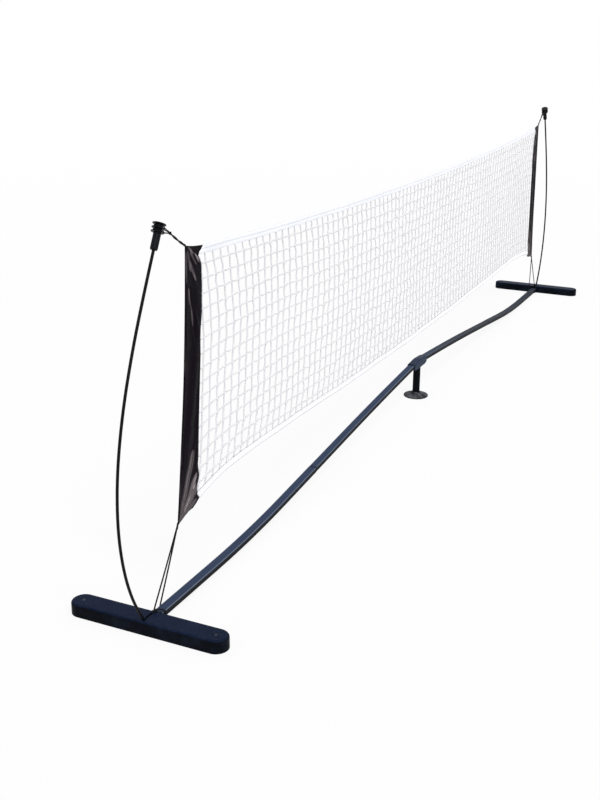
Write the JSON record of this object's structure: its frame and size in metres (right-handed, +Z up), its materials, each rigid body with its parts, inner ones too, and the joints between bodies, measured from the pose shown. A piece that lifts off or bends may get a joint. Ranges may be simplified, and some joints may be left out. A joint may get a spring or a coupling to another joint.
{
  "type": "portable pickleball net",
  "caption": "Free-standing portable pickleball net: arched beam with centre leg, two feet, bowed rods with caps, cord ties, dark sleeves and a white twine net.",
  "frame": {"origin": "on the floor, below the middle of the net, between the two feet", "axes": "+X along the net towards its right end, +Y across the net, +Z up"},
  "size_m": [3.9582, 0.426, 0.9478],
  "materials": {
    "beam_paint": "satin powder coat, slate black",
    "spigot_steel": "plain drawn steel",
    "connector_plastic": "moulded, matt black",
    "leg_paint": "satin black",
    "pad_rubber": "matt dark grey",
    "foot_plastic": "fine grained moulding, blue black",
    "grip_rubber": "matt black",
    "screw_steel": "blackened",
    "rod_glassfibre": "drawn glass fibre rod, black",
    "cap_plastic": "moulded, black",
    "net_twine": "knotted white twine",
    "tape_cloth": "white woven tape with two rows of stitches",
    "sleeve_cloth": "black coated cloth, slight gloss",
    "tie_cord": "black braided cord"
  },
  "bodies": {
    "root": {"centre_connector": "connector_plastic", "left_inner_beam": "beam_paint", "right_inner_beam": "beam_paint", "left_outer_beam": "beam_paint", "right_outer_beam": "beam_paint", "left_beam_spigot": "spigot_steel", "right_beam_spigot": "spigot_steel", "net_mesh": "net_twine", "top_tape": "tape_cloth", "bottom_tape": "tape_cloth", "left_sleeve": "sleeve_cloth", "right_sleeve": "sleeve_cloth", "left_top_tie": "tie_cord", "right_top_tie": "tie_cord", "left_bottom_tie": "tie_cord", "right_bottom_tie": "tie_cord"},
    "left_foot": {"left_foot": "foot_plastic", "left_foot_grips": "grip_rubber", "left_foot_screws": "screw_steel"},
    "right_foot": {"right_foot": "foot_plastic", "right_foot_grips": "grip_rubber", "right_foot_screws": "screw_steel"},
    "left_rod": {"left_rod": "rod_glassfibre", "left_rod_cap": "cap_plastic", "left_tie_loops": "tie_cord"},
    "right_rod": {"right_rod": "rod_glassfibre", "right_rod_cap": "cap_plastic", "right_tie_loops": "tie_cord"},
    "centre_leg": {"leg_tube": "leg_paint", "leg_plug": "connector_plastic", "foot_pad": "pad_rubber"}
  },
  "joints": [
    {"name": "left_foot_slide", "type": "slide", "parent": "root", "child": "left_foot", "axis": [-1, 0, 0], "range_m": [0, 0.05], "deforming": ["left_top_tie", "left_bottom_tie"]},
    {"name": "left_rod_lift", "type": "slide", "parent": "left_foot", "child": "left_rod", "axis": [-0.5402, 0, 0.8415], "range_m": [0, 0.03]},
    {"name": "right_foot_slide", "type": "slide", "parent": "root", "child": "right_foot", "axis": [1, 0, 0], "range_m": [0, 0.05], "deforming": ["right_top_tie", "right_bottom_tie"]},
    {"name": "right_rod_lift", "type": "slide", "parent": "right_foot", "child": "right_rod", "axis": [0.5402, 0, 0.8415], "range_m": [0, 0.03]},
    {"name": "centre_leg_turn", "type": "hinge", "parent": "root", "child": "centre_leg", "pos_m": [0, 0, 0.12], "axis": [0, 0, 1], "continuous": true}
  ]
}
